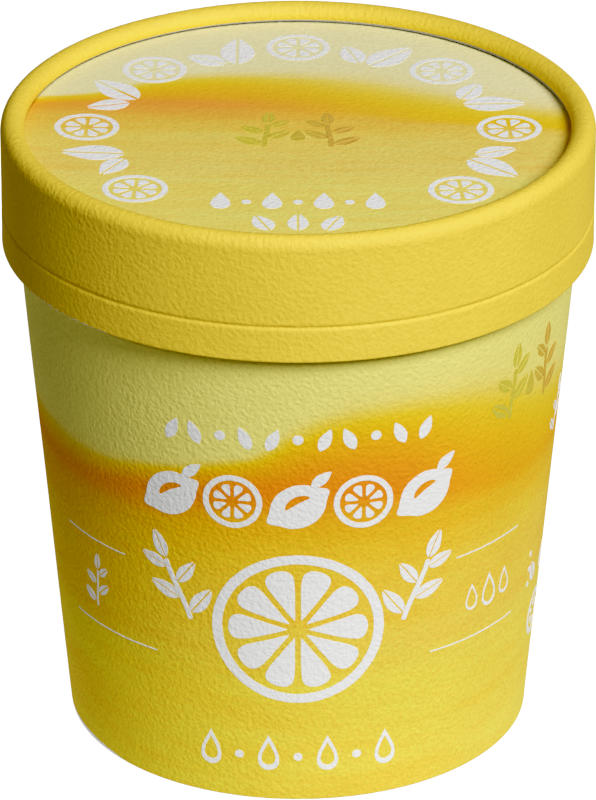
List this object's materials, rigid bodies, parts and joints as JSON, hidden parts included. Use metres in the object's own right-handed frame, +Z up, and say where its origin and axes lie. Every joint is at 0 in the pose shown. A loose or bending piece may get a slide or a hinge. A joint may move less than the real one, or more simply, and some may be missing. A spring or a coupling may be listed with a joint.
{
  "type": "sorbet cup",
  "caption": "Small round tapered paper cup of sorbet, shut with a pressed-on paper lid that has a rolled rim, a sunken disc and a folded hem.",
  "frame": {"origin": "centre of the round foot, on the surface the cup stands on", "axes": "+Z up along the cup's axis, -Y out of the printed front, +X to the right of the front"},
  "size_m": [0.054, 0.054, 0.0591],
  "materials": {
    "cup_sleeve": "satin grained paper, printed in soft bands from pale cream down to orange and lemon yellow",
    "white_ink": "matt white print on the grained paper",
    "floor_board": "plain uncoated white board",
    "lid_band": "satin grained paper in one lemon yellow",
    "lid_print": "satin grained paper, printed in soft bands from cream through orange to pale yellow"
  },
  "bodies": {
    "root": {"cup": "cup_sleeve", "floor_disc": "floor_board", "lid_band": "lid_band", "lid_disc": "lid_print"}
  },
  "joints": []
}
